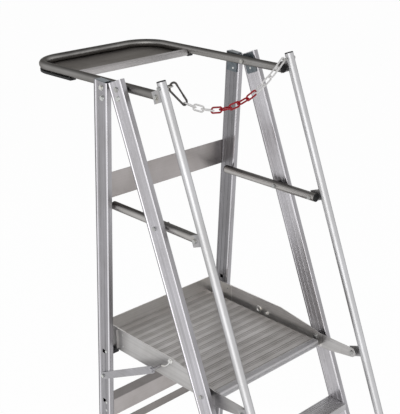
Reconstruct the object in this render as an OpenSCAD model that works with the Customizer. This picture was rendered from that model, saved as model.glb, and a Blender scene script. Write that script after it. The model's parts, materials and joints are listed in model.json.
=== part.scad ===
// Folding podium step: hinged stile frames, treads, ribbed platform, guard rail with tray,
// mid rails, entry handrails and a chain. Millimetres, +Z up, +X to the right, +Y to the rear.

/* [Overall] */
// Platform top above the floor
platform_height = 980; // [700:5:1500]
// Guard rail top above the platform
guard_height = 1000; // [900:5:1100]
// Width over the outer faces of the stiles
frame_width = 634; // [500:2:800]
// Lean of the front stiles from upright, degrees
front_lean = 21; // [15:0.5:26]
// Lean of the rear stiles from upright, degrees
rear_lean = 4.2; // [2:0.1:8]

/* [Stiles] */
// Depth of a stile
stile_depth = 70; // [60:1:90]
// Thickness of a stile over its beads
stile_thick = 20; // [18:1:30]
// Wall of a stile
stile_wall = 2; // [1.5:0.1:3]
// Width of the bead along each edge
bead_width = 9; // [6:0.5:12]
// Height of the bead over the web
bead_height = 1.5; // [0.8:0.1:2.5]
// Rounding of the beads
bead_round = 2.5; // [1:0.1:4]
// Front stile above the hinge, along the stile
front_top = 27; // [20:1:40]
// Rear stile above the hinge, along the stile
rear_top = 8; // [4:1:30]
// Rear stile's middle line behind the hinge
rear_offset = 83; // [78:1:120]
// Width of the two grooves along each stile face
groove_width = 3; // [2:0.5:5]
// Depth of those grooves
groove_depth = 0.7; // [0.4:0.1:1]
// Side of the square holes in the rear stiles
lock_hole = 16; // [8:1:18]
// Upper outer hole below the deck
lock_upper = 46; // [30:1:60]
// Lower outer hole below the deck
lock_lower = 273; // [230:1:290]
// Inner hole above the deck
lock_inner = 64; // [58:1:90]

/* [Feet] */
// Wall of a foot around its stile
foot_wall = 3.5; // [2:0.5:6]
// Sole under the stile
foot_sole = 8; // [4:1:15]
// Height of a foot
foot_height = 62; // [40:1:90]

/* [Treads] */
// Number of rises up to the platform
rise_count = 4; // [4:1:4]
// Depth of a tread
tread_depth = 84; // [60:1:100]
// Height of a tread
tread_height = 28; // [20:1:40]
// Wall of a tread
tread_wall = 2.2; // [1.5:0.1:4]
// Number of cells inside a tread
tread_cells = 3; // [2:1:4]
// Number of grooves on a tread
tread_grooves = 9; // [5:1:12]

/* [Hinge] */
// Thickness of the steel plates
plate_thick = 3; // [2:0.5:4]
// Height of a front hinge plate
plate_height = 72; // [64:1:90]
// Width of a hinge plate, between the beads
plate_width = 50; // [40:1:52]
// Rear bracket below the hinge, along the stile
bracket_drop = 60; // [56:1:90]
// Radius of the ear around the hinge bolt
ear_radius = 19; // [15:1:25]
// Diameter of the hinge bolts
hinge_bolt = 10; // [8:0.5:12]

/* [Rails] */
// Diameter of the rail tubes
tube_dia = 30; // [25:0.5:40]
// Wall of the rail tubes
tube_wall = 2; // [1.5:0.1:3]
// Gap from a stile's inner face to the tubes
tube_gap = 7; // [6.5:0.5:12]
// Hinge to the middle of the rear cross tube
rail_reach = 549; // [450:1:650]
// Bend radius of the guard rail
rail_bend = 110; // [70:1:150]
// Mid rails below the guard rail
mid_drop = 435; // [400:1:500]
// Mid rail behind its pivot
mid_behind = 262; // [200:1:270]
// Stile pivot to handrail pivot
link_length = 168; // [150:1:200]
// Tube past the handrail pivot
tube_past = 18; // [14:1:18]
// Thickness of the plugs in the tube ends
plug_thick = 3; // [2:0.5:3]

/* [Tray] */
// Depth of the tray up to the middle of the cross tube
tray_depth = 257; // [220:1:280]
// Thickness of the tray sheet
tray_sheet = 1.5; // [1:0.1:3]
// Height of the tray's front lip
lip_height = 22; // [15:1:30]
// Depth of the lip's top flange
lip_flange = 18; // [10:1:30]
// Width of the bumper strip under the tube
bumper_width = 24; // [15:1:28]
// Height of the bumper strip
bumper_height = 8; // [4:0.5:12]

/* [Platform] */
// Platform pivot to the rear face of the toe board
deck_behind = 576; // [500:1:650]
// Platform pivot to the front of the nosing
deck_ahead = 30; // [25:1:32]
// Number of planks
plank_count = 7; // [6:1:9]
// Height of a plank
plank_height = 22; // [18:1:30]
// Wall of a plank
plank_wall = 2; // [1.5:0.1:3]
// Number of raised bands on a plank
plank_bands = 2; // [1:1:3]
// Depth of the recess between the bands
band_depth = 1.2; // [0.6:0.1:1.4]
// Depth of the nosing
nosing_depth = 24; // [22:1:24]
// Gap from the side plates to the deck
deck_gap = 21; // [18:1:30]
// Side plate's outer face to the stile's inner face
side_gap = 18; // [15:0.5:25]
// Height of the side plates over the deck
toe_height = 55; // [40:1:80]
// Side plates below the deck
side_drop = 35; // [30:1:45]
// Side plate behind the platform pivot
side_behind = 496; // [440:1:520]
// Level part of the side plate's top ends here behind the pivot
side_kink = 182; // [150:1:220]
// Radius of the arm's front end
arm_radius = 18; // [15:0.5:20]
// Width of the ledge under the planks
ledge_width = 46; // [40:1:60]
// Forward return of the toe board along each side
toe_return = 128; // [100:1:150]
// Thickness of the toe board
toe_sheet = 2.5; // [2:0.1:4]
// Diameter of the platform pivot bolts
pivot_bolt = 10; // [8:0.5:12]

/* [Rear frame] */
// Rear plate's middle below the hinge
rear_plate_drop = 390; // [350:1:420]
// Height of the rear plate
rear_plate_height = 97; // [60:1:110]
// Upper brace's top below the deck
brace_upper_drop = 258; // [240:1:300]
// Flat strip's top below the deck
brace_strip_drop = 438; // [420:1:480]
// Lower brace above the floor
brace_lower_height = 155; // [120:1:220]
// Height of a brace
brace_height = 77; // [50:1:90]
// Depth of a brace
brace_depth = 45; // [30:1:60]
// Wall of a brace
brace_wall = 2.5; // [2:0.1:4]
// Height of the flat strip
strip_height = 38; // [25:1:50]
// Height of the rest blocks under the platform
rest_height = 18; // [12:1:30]
// Depth of the rest blocks
rest_depth = 28; // [20:1:34]
// Rest blocks past the inner faces of the side plates
rest_past = 12; // [6:1:16]

/* [Handrails] */
// Handrail pivot to the handrail's middle line
strap_reach = 45; // [44:0.5:55]
// Handrail tube above its top bracket
handrail_over = 18; // [16:1:60]
// Handrail tube's bottom above the floor
handrail_bottom = 526; // [480:1:620]
// Height of a bracket along the handrail
strap_height = 40; // [30:1:50]
// Thickness of a bracket
strap_thick = 2.5; // [2:0.1:3]
// Bracket past the handrail pivot
strap_past = 14; // [10:0.5:18]
// Diameter of the handrail pivot bolts
strap_bolt = 8; // [6:0.5:10]
// Diameter of the spacers at the mid rail pivots
mid_spacer = 26; // [20:1:30]
// Diameter of the spacers at the platform pivots
pivot_spacer = 24; // [20:1:30]
// Height of a handrail cap
cap_height = 4.5; // [3:0.5:12]

/* [Stays] */
// Width of a stay
stay_width = 28; // [24:1:40]
// Thickness of a stay
stay_thick = 4; // [3:0.5:5]
// Stay's rear pivot below the deck
stay_drop = 155; // [140:1:170]
// Stay's front pivot behind the platform pivot
stay_behind = 250; // [240:1:260]
// Diameter of the stay pivots
stay_pin = 10; // [8:0.5:12]

/* [Chain] */
// Eye bolts below the tops of the handrail tubes
eye_drop = 17; // [12:1:20]
// Wire of the eyes
eye_wire = 5; // [4:0.5:6]
// Radius of the eyes to the middle of the wire
eye_radius = 9.5; // [9:0.5:11]
// Wire of the carabiner
hook_wire = 7; // [6:0.5:7.5]
// Radius of the carabiner's upper bow to the middle of the wire
hook_big = 15.5; // [15:0.5:19]
// Radius of the carabiner's lower bow to the middle of the wire
hook_small = 9; // [8.5:0.5:11]
// Length of the carabiner between wire middles
hook_length = 96; // [92:1:110]
// Slope of the carabiner, degrees
hook_slope = 50; // [44:1:56]
// Number of links, even
link_count = 12; // [10:2:14]
// Wire of the links
link_wire = 6; // [5:0.5:6.5]
// Width of the links between wire middles
link_width = 18; // [16:0.5:20]
// Curve of the hanging chain, per metre
chain_curve = 1.6; // [1.5:0.05:2]

/* [Fits] */
// Gap between neighbouring faces that move on each other
side_fit = 0.3; // [0.2:0.05:0.6]
// Radial clearance of a pivot pin
pin_fit = 0.05; // [0.02:0.01:0.1]
// Radial clearance of a fixed bolt or rivet
hole_fit = 0.1; // [0.05:0.01:0.3]
// Clearance around pieces pushed into one another
push_fit = 0.1; // [0.05:0.01:0.3]

/* [Hidden] */
$fn = 0;
$fa = 6;
$fs = 0.6;

hinge_z = platform_height + guard_height - tube_dia / 2;
deck_drop = guard_height - tube_dia / 2;
tread_rise = platform_height / rise_count;
inner_x = frame_width / 2 - stile_thick;
outer_x = frame_width / 2;
stile_x = inner_x + stile_thick / 2;
inner_web = inner_x + bead_height;
outer_web = outer_x - bead_height;
tube_x = inner_x - tube_gap - tube_dia / 2;
front_reach = hinge_z * tan(front_lean) + (stile_depth / 2 + foot_wall) / cos(front_lean);
home_y = (front_reach - rail_reach - tube_dia / 2) / 2;

front_plate_x = inner_web - plate_thick;
ear_x = front_plate_x - side_fit - plate_thick;
hinge_washer = ear_x - side_fit - tube_x - tube_dia / 2 - side_fit;
plate_bolts = [[4, -30]];
ear_bolts = [[rear_offset - 4, -13], [rear_offset - 8, -47]];

plate_x = inner_x - side_gap;
plate_in = plate_x - plate_thick;
deck_half = plate_in - deck_gap;
ledge_z = -plank_height;
plank_from = nosing_depth - deck_ahead + push_fit;
plank_pitch = (deck_behind - toe_sheet - push_fit - plank_from) / plank_count;
tray_front = rail_reach - tray_depth;
brace_lower_drop = platform_height - brace_lower_height - brace_height;

handrail_y = -link_length * cos(front_lean) - strap_reach;
handrail_up = -handrail_y * sin(front_lean);
handrail_high = strap_height / 2 + handrail_over - link_length * sin(front_lean);
handrail_low = (handrail_bottom - hinge_z - handrail_up) / cos(front_lean);
strap_in = tube_dia / 2 + side_fit;
strap_out = strap_in + strap_thick;
handrail_x = tube_x + strap_in + strap_thick / 2;
weld_dia = 5;
link_drop = link_length * sin(front_lean);
pivot_drops = [0, mid_drop / cos(front_lean), deck_drop / cos(front_lean)];

stay_in = outer_x + side_fit;
stay_out = stay_in + stay_thick;
stay_low = [rear_y(-deck_drop - stay_drop), -deck_drop - stay_drop];
stay_high = [front_y(-deck_drop) + stay_behind, -deck_drop];
stay_len = norm(stay_high - stay_low);
stay_angle = atan2(stay_high[1] - stay_low[1], stay_high[0] - stay_low[0]);

bolt_head = 5;
head_width = 16;
rivet_dia = 6;
rivet_head = 12;
rivet_high = 2.5;
low_head = 1;
clip_at = [196, 41];
ring_at = [295, 6];

// Chain: the wire of the left eye, the carabiner's bows, then points along a parabola
eye_x = handrail_x - tube_dia / 2 - eye_radius - eye_wire / 2 - 0.5;
eye_along = handrail_high - eye_drop;
eye_z = handrail_up + eye_along * cos(front_lean);
eye_y = handrail_y * cos(front_lean) + eye_along * sin(front_lean);
ring_x = eye_x - eye_radius;
swing_play = 0.7;
hook_play = eye_wire / 2 + hook_wire / 2 + swing_play;
hook_dir = [cos(hook_slope), -sin(hook_slope)];
hook_top = [-ring_x, eye_z] - hook_play * hook_dir;
hook_end = hook_top + hook_length * hook_dir;
link_play = link_wire + side_fit;
leg_wire = link_wire - 0.06;
hook_leg_wire = hook_wire - 0.06;
seat = 0.4;
hook_taper = asin((hook_big - hook_small) / (hook_length - hook_big - hook_small));
hook_leg = (hook_length - hook_big - hook_small) * cos(hook_taper);
chain_from = hook_end - ((hook_wire + link_wire) / 4 + 0.6) * hook_dir;
chain_end_slope = 40;
chain_to = [ring_x, eye_z] + ((eye_wire + link_wire - link_play) / 2 + swing_play + 0.1) * [cos(chain_end_slope), sin(chain_end_slope)];
link_pitch = pitch_for(10, 80, 40);
gate_from = 9;
gate_pin_at = 51;
gate_dia = 6;
gate_pin = 2;
tongue = 2.6;

function front_y(z) = z * tan(front_lean);
function rear_y(z) = rear_offset / cos(rear_lean) - z * tan(rear_lean);
function rear_along(z) = (z - rear_offset * sin(rear_lean)) / cos(rear_lean);
function chain_z(x) = chain_from[1]
  + (chain_to[1] - chain_from[1]) * (x - chain_from[0]) / (chain_to[0] - chain_from[0])
  + chain_curve / 1000 * (x - chain_from[0]) * (x - chain_to[0]);
function chain_at(x) = [x, chain_z(x)];
function step_to(x, pitch, low, high, n) = n == 0 ? (low + high) / 2
  : norm(chain_at((low + high) / 2) - chain_at(x)) < pitch
  ? step_to(x, pitch, (low + high) / 2, high, n - 1)
  : step_to(x, pitch, low, (low + high) / 2, n - 1);
function chain_x(k, pitch) = k == 0 ? chain_from[0]
  : let (x = chain_x(k - 1, pitch)) step_to(x, pitch, x, x + pitch, 30);
function pitch_for(low, high, n) = n == 0 ? (low + high) / 2
  : chain_x(link_count, (low + high) / 2) < chain_to[0]
  ? pitch_for((low + high) / 2, high, n - 1)
  : pitch_for(low, (low + high) / 2, n - 1);

mill = "#b8bbbe";
satin = "#8f8d88";
bright = "#cfd2d5";
zinc = "#93a0a3";
steel = "#a3a5a8";
black = "#232425";
white = "#eceae6";
red = "#b3202c";

// Places: the hinge line, the two stile directions and the platform pivot

module home() translate([0, home_y, hinge_z]) children();
module front_dir() home() rotate([-front_lean, 0, 0]) children();
module rear_dir() home() rotate([rear_lean, 0, 0]) children();
module deck_dir() home() translate([0, front_y(-deck_drop), -deck_drop]) children();
module left() mirror([1, 0, 0]) children();

module pair() {
  children();
  left() children();
}

// Lays a flat outline in (y, z) and gives it a thickness along X from the given place
module slab(from, to) translate([from, 0, 0]) rotate([90, 0, 90]) linear_extrude(to - from) children();
module rod(from, to, dia) translate([from, 0, 0]) rotate([0, 90, 0]) cylinder(h = to - from, d = dia);
module hex(from, to) translate([from, 0, 0]) rotate([0, 90, 0]) cylinder(h = to - from, d = head_width, $fn = 6);
module dome(at, high = rivet_high) translate([at, 0, 0]) rotate([0, 90, 0]) cylinder(h = high, d1 = rivet_head, d2 = 7);
module washer_head(at) {
  rod(at, at + low_head, head_width + 3);
  hex(at, at + bolt_head);
}

module soft_box(w, h, r) {
  square([w - 2 * r, h], center = true);
  square([w, h - 2 * r], center = true);
  for (x = [-1, 1], y = [-1, 1]) translate([x * (w / 2 - r), y * (h / 2 - r)]) circle(r = r);
}

module ring2d(dia, wall) difference() {
  circle(d = dia);
  circle(d = dia - 2 * wall);
}

// Stiles

module stile_section() difference() {
  union() {
    square([stile_thick - 2 * bead_height, stile_depth - bead_width], center = true);
    for (e = [-1, 1]) translate([0, e * (stile_depth - bead_width) / 2])
      soft_box(stile_thick, bead_width, bead_round);
  }
  square([stile_thick - 2 * (bead_height + stile_wall), stile_depth - 2 * stile_wall], center = true);
  for (x = [-1, 1], y = [-1, 1]) translate([x * (stile_thick / 2 - bead_height), y * stile_depth / 7])
    square([2 * groove_depth, groove_width], center = true);
}

module above(z) difference() {
  children();
  translate([-frame_width, -2 * hinge_z, z - hinge_z]) cube([2 * frame_width, 4 * hinge_z, hinge_z]);
}

module tread_places() for (i = [1 : rise_count - 1])
  home() translate([0, front_y(tread_rise * i - tread_height / 2 - hinge_z), tread_rise * i - tread_height / 2 - hinge_z])
    children();

module plate_bolt_places() front_dir() for (p = plate_bolts) translate([0, p[0], p[1]]) children();
module ear_bolt_places() rear_dir() for (p = ear_bolts) translate([0, p[0], p[1]]) children();
module tread_rivet_places() tread_places() for (y = [-16, 16]) translate([0, y, 0]) children();

module front_stile() color(mill) difference() {
  above(foot_sole) front_dir() translate([stile_x, 0, -1.2 * hinge_z])
    linear_extrude(1.2 * hinge_z + front_top) stile_section();
  home() rod(inner_x - 5, outer_x + 5, hinge_bolt + 2 * hole_fit);
  home() translate([0, front_y(-mid_drop), -mid_drop]) rod(inner_x - 5, outer_x + 5, strap_bolt + 2 * hole_fit);
  deck_dir() rod(inner_x - 5, outer_x + 5, pivot_bolt + 2 * hole_fit);
  tread_rivet_places() rod(inner_x - 5, outer_x + 5, rivet_dia + 2 * hole_fit);
  plate_bolt_places() rod(inner_x - 5, outer_x + 5, strap_bolt + 2 * hole_fit);
}

module brace_rivet_places() rear_dir() for (d = [brace_upper_drop, brace_lower_drop], z = [20, brace_height - 20])
  translate([0, rear_offset - stile_depth / 2 + 24, rear_along(-deck_drop - d) - z]) children();
module back_rivet_places() rear_dir() {
  for (z = [-0.3, 0.3]) translate([stile_x, rear_offset + stile_depth / 2, -rear_plate_drop + z * rear_plate_height])
    rotate([0, 0, 90]) children();
  translate([stile_x, rear_offset + stile_depth / 2, rear_along(-deck_drop - brace_strip_drop) - strip_height / 2])
    rotate([0, 0, 90]) children();
}
module rest_rivet_places() rear_dir() translate([0, rear_offset + 2 - rest_depth / 2, rear_along(-deck_drop - side_drop) - rest_height / 2])
  children();

module rear_stile() color(mill) difference() {
  above(foot_sole) rear_dir() translate([stile_x, rear_offset, -1.2 * hinge_z])
    linear_extrude(1.2 * hinge_z + rear_top) stile_section();
  rear_dir() for (z = [lock_upper, lock_lower]) translate([outer_web, rear_offset, rear_along(-deck_drop - z)])
    cube([2 * stile_wall + 2, lock_hole, lock_hole], center = true);
  rear_dir() translate([inner_web, rear_offset, rear_along(-deck_drop + lock_inner)])
    cube([2 * stile_wall + 2, lock_hole, lock_hole], center = true);
  home() translate([0, stay_low[0], stay_low[1]]) rod(inner_x - 5, outer_x + 5, stay_pin + 2 * hole_fit);
  ear_bolt_places() rod(inner_x - 5, outer_x + 5, strap_bolt + 2 * hole_fit);
  brace_rivet_places() rod(inner_x - 5, outer_x + 5, rivet_dia + 2 * hole_fit);
  rest_rivet_places() rod(inner_x - 5, outer_x + 5, rivet_dia + 2 * hole_fit);
  back_rivet_places() rod(-10, 5, rivet_dia + 2 * hole_fit);
}

module front_stile_right() front_stile();
module front_stile_left() left() front_stile();
module rear_stile_right() rear_stile();
module rear_stile_left() left() rear_stile();

// Feet: a sleeve around the stile's end, cut level at the floor

module foot_slab(low, high) translate([0, -2 * hinge_z, low]) cube([frame_width, 4 * hinge_z, high - low]);

module foot_prism(lean, offset, grow) home() rotate([lean, 0, 0]) translate([stile_x, offset, -1.2 * hinge_z])
  linear_extrude(1.2 * hinge_z) square([stile_thick + 2 * grow, stile_depth + 2 * grow], center = true);

module foot(lean, offset) color(black) difference() {
  intersection() {
    foot_prism(lean, offset, foot_wall);
    foot_slab(0, foot_height);
  }
  intersection() {
    foot_prism(lean, offset, push_fit);
    foot_slab(foot_sole, foot_height + 1);
  }
}

module front_foot_right() foot(-front_lean, 0);
module front_foot_left() left() foot(-front_lean, 0);
module rear_foot_right() foot(rear_lean, rear_offset);
module rear_foot_left() left() foot(rear_lean, rear_offset);

// Treads

module tread_section() {
  cell = (tread_depth - tread_wall * (tread_cells + 1)) / tread_cells;
  pitch = tread_depth / (tread_grooves + 1);
  difference() {
    soft_box(tread_depth, tread_height, 3);
    for (i = [0 : tread_cells - 1])
      translate([-tread_depth / 2 + tread_wall + i * (cell + tread_wall), -tread_height / 2 + tread_wall])
        square([cell, tread_height - 2 * tread_wall - 1.2]);
    for (i = [1 : tread_grooves]) translate([-tread_depth / 2 + i * pitch, tread_height / 2])
      square([pitch / 2, 2.4], center = true);
  }
}

module tread(i) color(satin) home()
  translate([0, front_y(tread_rise * i - tread_height / 2 - hinge_z), tread_rise * i - tread_height / 2 - hinge_z])
    slab(-inner_x, inner_x) tread_section();

module tread_lower() tread(1);
module tread_middle() tread(2);
module tread_upper() tread(3);

module front_rivets() color(steel) pair() {
  tread_rivet_places() {
    dome(outer_web);
    rod(inner_x, outer_web, rivet_dia);
  }
  plate_bolt_places() {
    washer_head(outer_web);
    rod(front_plate_x, outer_web, strap_bolt);
  }
}

// Hinge plates and brackets

module hinge_plate_front() color(zinc) difference() {
  front_dir() translate([0, 0, front_top - 3 - plate_height / 2]) slab(front_plate_x, inner_web)
    soft_box(plate_width, plate_height, 5);
  home() rod(inner_x - 9, outer_x, hinge_bolt + 2 * hole_fit);
  plate_bolt_places() rod(inner_x - 9, outer_x, strap_bolt + 2 * hole_fit);
}

module hinge_plate_front_right() hinge_plate_front();
module hinge_plate_front_left() left() hinge_plate_front();

module hinge_bracket_rear() color(zinc) difference() {
  rear_dir() {
    translate([0, rear_offset, (rear_top + plate_thick - bracket_drop) / 2])
      slab(ear_x, inner_web) square([plate_width, rear_top + plate_thick + bracket_drop], center = true);
    slab(ear_x, ear_x + plate_thick) {
      circle(r = ear_radius);
      translate([0, -ear_radius]) square([rear_offset - plate_width / 2, ear_radius + rear_top]);
      translate([0, rear_top - 1]) square([rear_offset - plate_width / 2, plate_thick + 1]);
    }
    translate([inner_web - 1, rear_offset - plate_width / 2, rear_top])
      cube([outer_x - inner_web + 1, plate_width, plate_thick]);
  }
  home() rod(inner_x - 9, outer_x, hinge_bolt + 2 * pin_fit);
  ear_bolt_places() rod(inner_x - 9, outer_x, strap_bolt + 2 * hole_fit);
}

module hinge_bracket_rear_right() hinge_bracket_rear();
module hinge_bracket_rear_left() left() hinge_bracket_rear();

module hinge_bolts() color(steel) pair() home() {
  washer_head(outer_web);
  rod(tube_x - tube_dia / 2 - 4, outer_web, hinge_bolt);
  rod(tube_x + tube_dia / 2 + side_fit, tube_x + tube_dia / 2 + side_fit + hinge_washer, hinge_bolt + 12);
  hex(tube_x - tube_dia / 2 - side_fit - 7, tube_x - tube_dia / 2 - side_fit);
}

module mid_rail_bolts() color(steel) pair() home() translate([0, front_y(-mid_drop), -mid_drop]) {
  hex(outer_web, outer_web + bolt_head);
  rod(tube_x - tube_dia / 2 - 4, outer_web, strap_bolt);
  hex(tube_x - tube_dia / 2 - side_fit - 6, tube_x - tube_dia / 2 - side_fit);
}

module mid_rail_spacers() color(black) pair() home() translate([0, front_y(-mid_drop), -mid_drop]) difference() {
  rod(tube_x + tube_dia / 2 + side_fit, inner_x, mid_spacer);
  rod(tube_x, inner_x + 1, strap_bolt + 2 * hole_fit);
}

module platform_bolts() color(steel) pair() deck_dir() {
  hex(outer_web, outer_web + bolt_head);
  rod(plate_in - 4, outer_web, pivot_bolt);
  hex(plate_in - side_fit - 7, plate_in - side_fit);
}

module platform_spacers() color(black) pair() deck_dir() difference() {
  rod(plate_x + side_fit, inner_x, pivot_spacer);
  rod(plate_x, inner_x + 1, pivot_bolt + 2 * hole_fit);
}

// Rear frame

module rear_plate() color(mill) difference() {
  rear_dir() translate([-outer_x + 4, rear_offset + stile_depth / 2, -rear_plate_drop - rear_plate_height / 2])
    cube([2 * outer_x - 8, plate_thick, rear_plate_height]);
  pair() back_rivet_places() rod(-1, 6, rivet_dia + 2 * hole_fit);
}

module rear_brace_strip() color(mill) difference() {
  rear_dir() translate([-outer_x + 4, rear_offset + stile_depth / 2, rear_along(-deck_drop - brace_strip_drop) - strip_height])
    cube([2 * outer_x - 8, plate_thick, strip_height]);
  pair() back_rivet_places() rod(-1, 6, rivet_dia + 2 * hole_fit);
}

module brace(drop) color(satin) difference() {
  rear_dir() translate([0, rear_offset - stile_depth / 2, rear_along(-deck_drop - drop) - brace_height]) difference() {
    translate([-inner_x, 0, 0]) cube([2 * inner_x, brace_depth, brace_height]);
    translate([-inner_x + plate_thick, brace_wall, brace_wall])
      cube([2 * (inner_x - plate_thick), brace_depth, brace_height - 2 * brace_wall]);
  }
  pair() brace_rivet_places() rod(inner_x - 9, outer_x, rivet_dia + 2 * hole_fit);
}

module rear_brace_upper() brace(brace_upper_drop);
module rear_brace_lower() brace(brace_lower_drop);

module rear_rivets() color(steel) pair() {
  ear_bolt_places() {
    washer_head(outer_web);
    rod(ear_x, outer_web, strap_bolt);
  }
  brace_rivet_places() {
    dome(outer_web, low_head);
    rod(inner_x - plate_thick, outer_web, rivet_dia);
  }
  rest_rivet_places() {
    dome(outer_web, low_head);
    rod(inner_x - 8, outer_web, rivet_dia);
  }
  back_rivet_places() {
    dome(plate_thick);
    rod(-stile_wall, plate_thick, rivet_dia);
  }
}

module stay_bolts() color(steel) pair() home() translate([0, stay_low[0], stay_low[1]]) {
  hex(stay_out + side_fit, stay_out + side_fit + bolt_head);
  rod(inner_web - 4, stay_out + side_fit, stay_pin);
  hex(inner_web - 7, inner_web);
}

module platform_rests() color(black) pair() difference() {
  rear_dir() translate([plate_in - rest_past, rear_offset + 2 - rest_depth, rear_along(-deck_drop - side_drop) - rest_height - 2])
    cube([inner_x - plate_in + rest_past, rest_depth, rest_height]);
  rest_rivet_places() rod(inner_x - 8, outer_x, rivet_dia + 2 * hole_fit);
}

// Platform

module plank_section() {
  wide = plank_pitch - push_fit;
  band = wide / plank_bands;
  cell = (wide - 3 * plank_wall) / 2;
  difference() {
    translate([0, -plank_height]) square([wide, plank_height]);
    for (i = [0, 1]) translate([plank_wall + i * (cell + plank_wall), plank_wall - plank_height])
      square([cell, plank_height - 2 * plank_wall - 1.5]);
    for (i = [0 : plank_bands - 1]) translate([(i + 0.5) * band, 0]) {
      square([band * 0.45, 2 * band_depth], center = true);
      for (y = [-1, 1]) translate([y * band * 0.37, 0]) square([band * 0.06, 2 * band_depth], center = true);
    }
  }
}

module platform_planks() color(satin) deck_dir() for (i = [0 : plank_count - 1])
  translate([0, plank_from + i * plank_pitch, 0]) slab(-deck_half, deck_half) plank_section();

module nosing_section() difference() {
  union() {
    translate([-deck_ahead, -plank_height]) square([nosing_depth, plank_height - 4]);
    translate([6 - deck_ahead, -8]) square([nosing_depth - 6, 10]);
    translate([6 - deck_ahead, -4]) circle(r = 6);
  }
  translate([3 - deck_ahead, 3 - plank_height]) square([nosing_depth - 6, plank_height - 10]);
  for (i = [0 : 2]) translate([-deck_ahead, 5 - plank_height + i * 4]) square([2.4, 1.8], center = true);
  for (i = [0 : 2]) translate([10 - deck_ahead + i * 5, 2]) square([2.2, 2], center = true);
}

module platform_nosing() color(satin) deck_dir() slab(-deck_half, deck_half) nosing_section();

module side_outline() {
  polygon([
    [side_behind, -side_drop], [side_behind, toe_height], [side_kink, toe_height], [38, 32], [-20, arm_radius + 1],
    [-link_length, arm_radius], [-link_length, -arm_radius], [-60, -side_drop]
  ]);
  translate([-link_length, 0]) circle(r = arm_radius);
}

module side_plate() color(satin) deck_dir() difference() {
  union() {
    slab(plate_in, plate_x) side_outline();
    translate([plate_in - ledge_width, -deck_ahead + 4, ledge_z - plate_thick])
      cube([ledge_width + 1, deck_ahead - 4 + deck_behind - toe_return - 1, plate_thick]);
    translate([plate_x - 1, side_behind - plate_thick, 6 - side_drop])
      cube([8, plate_thick, side_drop + toe_height - 12]);
  }
  rod(plate_in - 9, inner_x, pivot_bolt + 2 * pin_fit);
  translate([0, -link_length, 0]) rod(plate_in - 9, inner_x, strap_bolt + 2 * pin_fit);
  platform_rivet_places() rod(plate_in - 9, inner_x, rivet_dia + 2 * hole_fit);
  translate([0, stay_behind, 0]) rod(plate_in - 9, inner_x, stay_pin + 2 * hole_fit);
}

module side_plate_right() side_plate();
module side_plate_left() left() side_plate();

module platform_rivet_places() for (z = [-12, 36]) translate([0, deck_behind - toe_return + 20, z]) children();

module toe_half() {
  translate([0, deck_behind - toe_sheet, -side_drop]) cube([plate_in, toe_sheet, side_drop + toe_height]);
  translate([plate_in - toe_sheet, deck_behind - toe_return, -side_drop])
    cube([toe_sheet, toe_return, side_drop + toe_height]);
  translate([plate_in - ledge_width, deck_behind - toe_return, ledge_z - toe_sheet])
    cube([ledge_width, toe_return, toe_sheet]);
  translate([0, deck_behind - 40, ledge_z - toe_sheet]) cube([plate_in, 40, toe_sheet]);
}

module toe_board() color(satin) deck_dir() difference() {
  pair() toe_half();
  pair() platform_rivet_places() rod(plate_in - 9, inner_x, rivet_dia + 2 * hole_fit);
}

module platform_rivets() color(steel) pair() deck_dir() platform_rivet_places() {
  dome(plate_x, low_head);
  rod(plate_in - toe_sheet, plate_x, rivet_dia);
}

module stay_nuts() color(steel) pair() deck_dir() translate([0, stay_behind, 0]) {
  rod(plate_in - 1, plate_x, stay_pin);
  hex(plate_in - 8, plate_in);
  translate([0, clip_at[0] - stay_behind, clip_at[1]]) washer_head(plate_x);
  translate([0, ring_at[0] - stay_behind, ring_at[1]]) slab(plate_in - low_head - 2, plate_in) ring2d(head_width + 10, 4);
}

// Guard rail and tray

module rail_run(dia, wall) {
  straight = rail_reach - rail_bend;
  pair() {
    translate([tube_x, -link_length - tube_past, 0]) rotate([-90, 0, 0])
      linear_extrude(straight + link_length + tube_past) ring2d(dia, wall);
    translate([tube_x - rail_bend, straight, 0]) rotate_extrude(angle = 90)
      translate([rail_bend, 0]) ring2d(dia, wall);
  }
  translate([-tube_x + rail_bend, rail_reach, 0]) rotate([0, 90, 0])
    linear_extrude(2 * (tube_x - rail_bend)) ring2d(dia, wall);
}

module guard_rail() color(satin) home() difference() {
  rail_run(tube_dia, tube_wall);
  pair() rod(tube_x - tube_dia, tube_x + tube_dia, hinge_bolt + 2 * pin_fit);
  pair() translate([0, -link_length, 0]) rod(tube_x - tube_dia, tube_x + tube_dia, strap_bolt + 2 * pin_fit);
  pair() tray_rivet_places() translate([0, 0, -tube_dia / 2 - 1]) cylinder(h = tube_wall + 2, d = rivet_dia + 2 * hole_fit);
}

module tray_rivet_places() for (y = [tray_front + 20, rail_reach - rail_bend - 20]) translate([tube_x, y, 0]) children();

module front_plug() rotate([90, 0, 0]) {
  cylinder(h = plug_thick, d = tube_dia);
  translate([0, 0, -8]) cylinder(h = 9, d = tube_dia - 2 * tube_wall - 2 * push_fit);
}

module rail_plugs() color(black) home() pair() translate([tube_x, -link_length - tube_past, 0]) front_plug();

module tray_outline(grow) difference() {
  union() {
    translate([-tube_x - grow, tray_front]) square([2 * (tube_x + grow), tray_depth - rail_bend]);
    translate([-tube_x + rail_bend, tray_front]) square([2 * (tube_x - rail_bend), tray_depth + grow]);
    for (s = [-1, 1]) translate([s * (tube_x - rail_bend), rail_reach - rail_bend]) circle(r = rail_bend + grow);
  }
  translate([-frame_width, tray_front - frame_width]) square([2 * frame_width, frame_width]);
}

module tray_floor() color(satin) home() difference() {
  translate([0, 0, -tube_dia / 2 - tray_sheet]) linear_extrude(tray_sheet) tray_outline(0);
  pair() tray_rivet_places() translate([0, 0, -tube_dia]) cylinder(h = tube_dia, d = rivet_dia + 2 * hole_fit);
}

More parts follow.
